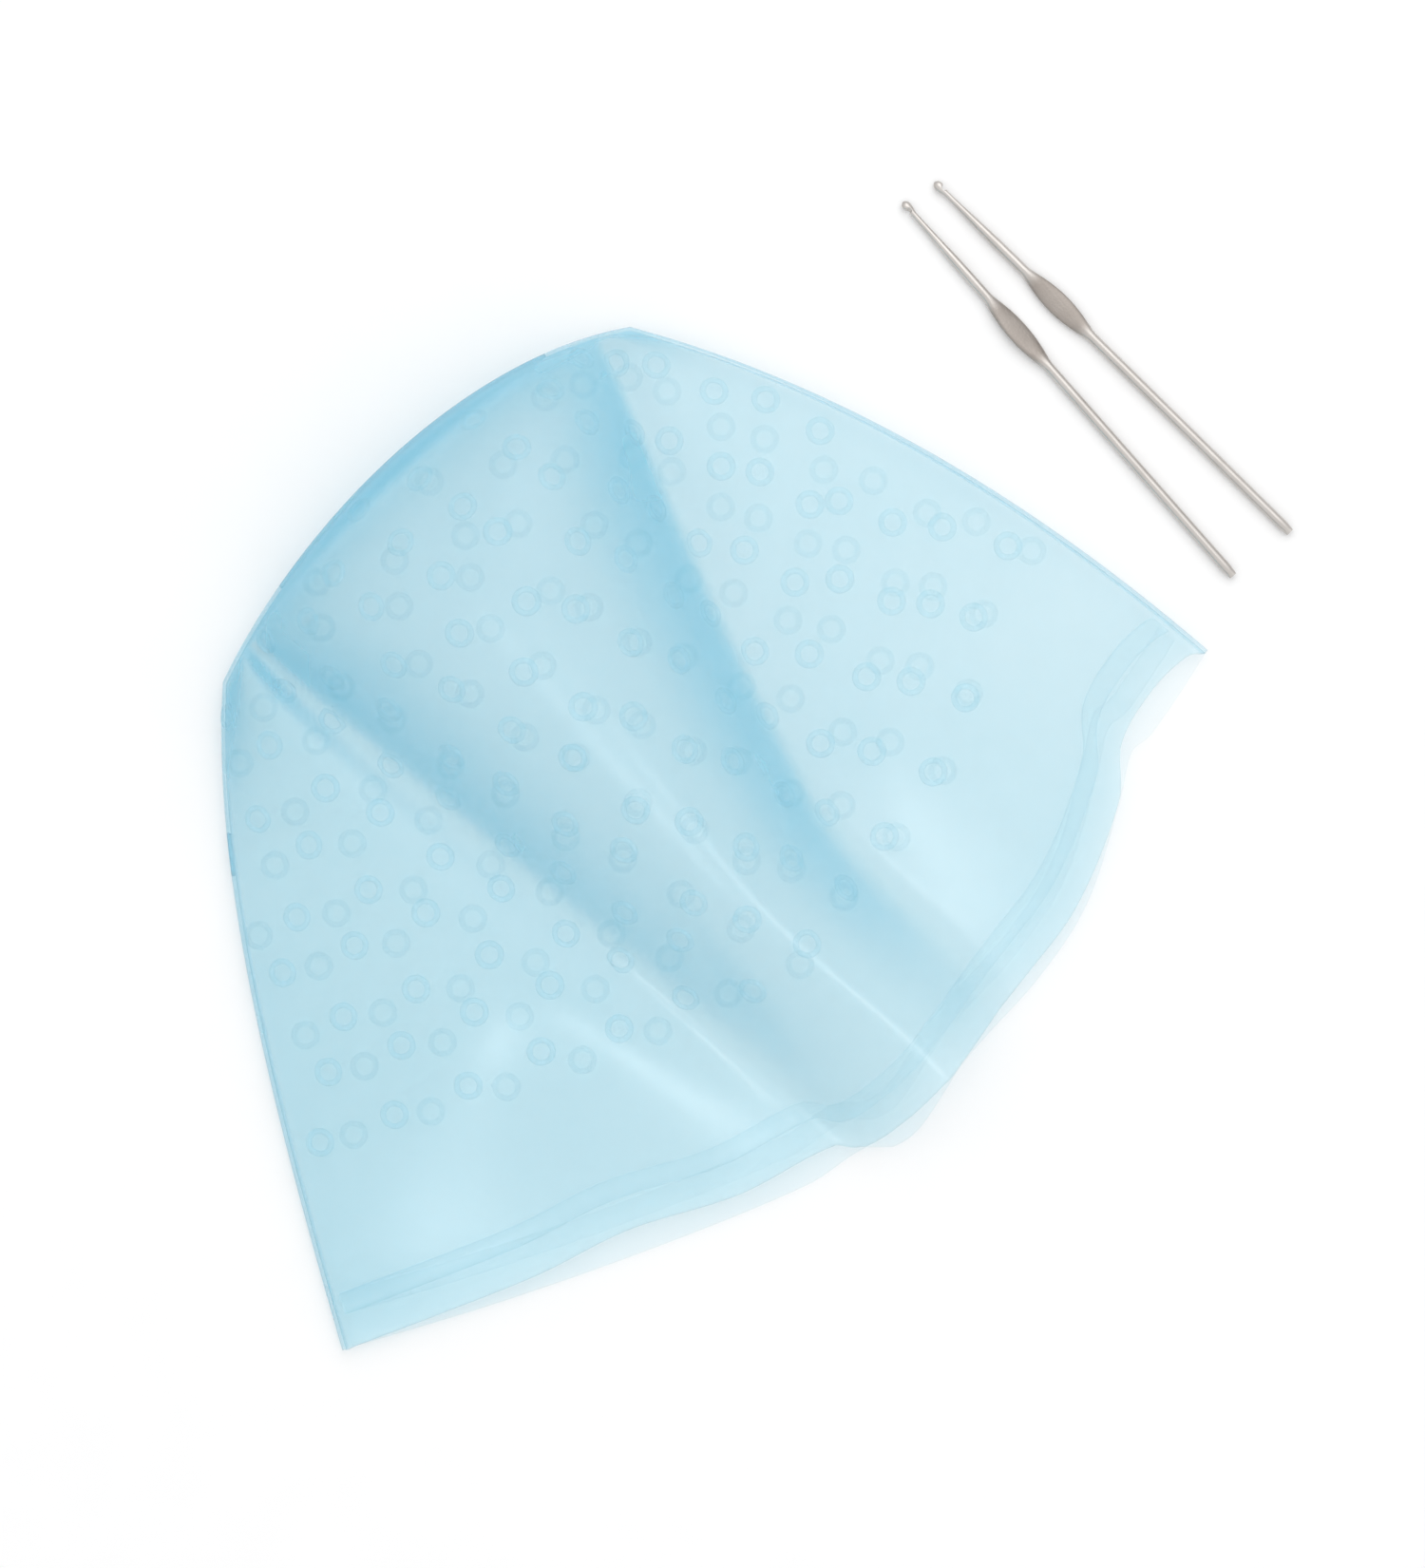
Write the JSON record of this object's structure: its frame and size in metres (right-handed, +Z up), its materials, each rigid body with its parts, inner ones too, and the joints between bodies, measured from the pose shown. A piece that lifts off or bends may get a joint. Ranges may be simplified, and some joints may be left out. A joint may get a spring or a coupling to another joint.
{
  "type": "highlighting cap",
  "caption": "Soft translucent dome cap with raised ring bosses and a beaded hem, lying on its side beside two slim pulling hooks.",
  "frame": {"origin": "on the table, midway between the two corners of the mouth", "axes": "+X across the mouth to the cap's right, +Y from the mouth to the crown, +Z up from the table"},
  "size_m": [0.3396, 0.2285, 0.045],
  "materials": {
    "silicone": "translucent satin silicone",
    "plated_steel": "nickel plate, drawn along the rod"
  },
  "bodies": {
    "lower_half": {"cap_lower_wall": "silicone", "hem_bead_lower": "silicone"},
    "upper_half": {"cap_upper_wall": "silicone", "hem_bead_upper": "silicone"},
    "hook_1": {"pulling_hook_1": "plated_steel"},
    "hook_2": {"pulling_hook_2": "plated_steel"}
  },
  "joints": [
    {"name": "mouth_hinge", "type": "hinge", "parent": "lower_half", "child": "upper_half", "pos_m": [0.011, 0.1792, 0.0115], "axis": [-1, 0, 0], "range_deg": [0, 15]},
    {"name": "hook_1_lift", "type": "slide", "parent": "lower_half", "child": "hook_1", "axis": [0, 0, 1], "range_m": [0, 0.08]},
    {"name": "hook_2_lift", "type": "slide", "parent": "lower_half", "child": "hook_2", "axis": [0, 0, 1], "range_m": [0, 0.08]}
  ]
}
